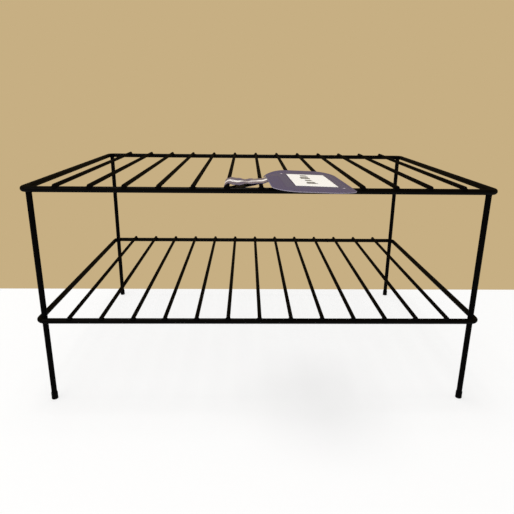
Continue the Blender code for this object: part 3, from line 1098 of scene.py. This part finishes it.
def ink_material():
    """Dark grey print, a little uneven."""
    material, tree, shader = new_material("grey_ink", INK, 0.5)
    patch = noise_node(tree, place_node(tree), scale=1400, detail=4, rough=0.7)
    paint(tree, shader, mottle_node(tree, patch, INK_MOTTLE, low=0.35, high=0.75))
    return material


def strap_materials():
    """Glossy purple film with a pale stripe along it, and its inner side painted near-black as
    shade.

    Painted shade dulls the stripe in the middle of its span, and a painted highlight turns it
    white next to the card.
    """
    outer, tree, shader, place, purple = printed_purple(
        "purple_film", roughness=0.24, shine=0.3, relief_scale=230, relief_depth=0.0002)
    x, y, _ = split_node(tree, place)
    away = math_node(tree, "ABSOLUTE", y)
    stripe = range_node(tree, away, STRIPE_HALF, STRIPE_HALF + STRIPE_SOFT, 1, 0)
    cloud = noise_node(tree, place, scale=160, detail=3)
    pale = mottle_node(tree, cloud, STRIPE_MOTTLE, low=0.38, high=0.58)
    # Painted highlight whitens the stripe next to the card; painted shade dulls it in the
    # middle of its span.
    along = range_node(tree, x, 0, STRIPE_RUN, 0, 1)
    painted_shade = ramp_node(tree, along, [(share, (grey,) * 3) for share, grey in STRIPE_PAINTED_SHADE_SHARES])
    painted_glare = range_node(tree, along, STRIPE_GLARE_FROM, STRIPE_GLARE_TO, 0, 1)
    pale = mix_node(tree, painted_glare, pale, STRIPE_PAINTED_GLARE)
    pale = mix_node(tree, painted_shade, pale, STRIPE_PAINTED_SHADE)
    paint(tree, shader, mix_node(tree, stripe, purple, pale))
    # The inner side's near-black is painted shade, from the loop's upper layer.
    inner, tree, shader = new_material("film_inside_painted_shade", FILM_INSIDE_PAINTED_SHADE, 0.3)
    shader.inputs["Specular IOR Level"].default_value = 0
    shader.inputs["Coat Weight"].default_value = 0.06
    cloud = noise_node(tree, place_node(tree), scale=200, detail=3)
    paint(tree, shader, mottle_node(tree, cloud, FILM_INSIDE_SHADE_MOTTLE))
    return [outer, inner]


# Stage, lights and camera

def add_floor():
    """A plain white table top that ends a little behind the rack."""
    material, tree, shader = new_material("table_white", FLOOR_WHITE, 0.6)
    shader.inputs["Specular IOR Level"].default_value = 0.2
    glow = tree.nodes.new("ShaderNodeEmission")
    glow.inputs["Strength"].default_value = 1.0
    mix_shaders(tree, math_node(tree, "MULTIPLY", seen_ray(tree), FLOOR_GLOW),
                shader.outputs["BSDF"], glow.outputs["Emission"],
                tree.nodes["Material Output"])
    box = [(x, y, z) for x in (-FLOOR_WIDTH / 2, FLOOR_WIDTH / 2)
           for y in (FLOOR_REAR - FLOOR_DEPTH, FLOOR_REAR) for z in (-FLOOR_STOCK, 0)]
    faces = [(0, 1, 3, 2), (4, 6, 7, 5), (0, 4, 5, 1), (2, 3, 7, 6), (0, 2, 6, 4), (1, 5, 7, 3)]
    mesh = bpy.data.meshes.new("table_top")
    mesh.from_pydata(box, [], faces)
    mesh.materials.append(material)
    table = bpy.data.objects.new("table_top", mesh)
    bpy.context.scene.collection.objects.link(table)


def add_world():
    """Even light from all round; the camera and reflections see the backdrop."""
    world = bpy.data.worlds.new("studio")
    bpy.context.scene.world = world
    world.use_nodes = True
    tree = world.node_tree
    tree.nodes.clear()
    output = tree.nodes.new("ShaderNodeOutputWorld")
    light = background_node(tree, ROOM_COLOUR, ROOM_LIGHT)
    seen = background_node(tree, BACKDROP, 1.0)
    mix_shaders(tree, seen_ray(tree), light, seen, output)


def add_lights():
    """Square soft boxes aimed at the rack."""
    for name, place, size, power, colour in LIGHTS:
        lamp = bpy.data.lights.new(name, "AREA")
        lamp.shape = "SQUARE"
        lamp.size = size
        lamp.energy = power
        lamp.color = colour
        holder = bpy.data.objects.new(name, lamp)
        bpy.context.scene.collection.objects.link(holder)
        holder.location = place
        holder.rotation_mode = "QUATERNION"
        aim = Vector(LIGHT_TARGET) - Vector(place)
        holder.rotation_quaternion = aim.to_track_quat("-Z", "Y")


def add_camera():
    """The photograph's viewpoint."""
    data = bpy.data.cameras.new("photo_view")
    data.sensor_width = CAMERA_SENSOR
    data.lens = CAMERA_LENS
    camera = bpy.data.objects.new("photo_view", data)
    bpy.context.scene.collection.objects.link(camera)
    level = Vector((cos(CAMERA_YAW), sin(CAMERA_YAW), 0))
    ahead = Vector((-sin(CAMERA_YAW), cos(CAMERA_YAW), 0))
    forward = ahead * cos(CAMERA_PITCH) - Vector((0, 0, 1)) * sin(CAMERA_PITCH)
    above = ahead * sin(CAMERA_PITCH) + Vector((0, 0, 1)) * cos(CAMERA_PITCH)
    right = level * cos(CAMERA_ROLL) + above * sin(CAMERA_ROLL)
    up = above * cos(CAMERA_ROLL) - level * sin(CAMERA_ROLL)
    turn = Matrix((right, up, -forward)).transposed().to_4x4()
    camera.matrix_world = Matrix.Translation(CAMERA_PLACE) @ turn
    bpy.context.scene.camera = camera


def dress():
    """The whole scene."""
    heavy_coat = coat_material("black_heavy_wire_coat", HEAVY_SHINE)
    thin_coat = coat_material("black_thin_wire_coat", THIN_SHINE)
    leg_coat = coat_material("black_leg_coat", LEG_SHINE)
    vinyl = vinyl_material()
    tag = {"card": card_materials(), "label": label_material(), "ink": ink_material(),
           "dots": dot_material(), "strap": strap_materials()}
    add_rings(heavy_coat)
    add_bars(thin_coat)
    add_legs(leg_coat, vinyl)
    add_welds(leg_coat)
    add_tag(tag)
    add_floor()
    add_world()
    add_lights()
    add_camera()
    bpy.context.scene.view_settings.view_transform = "Standard"


dress()
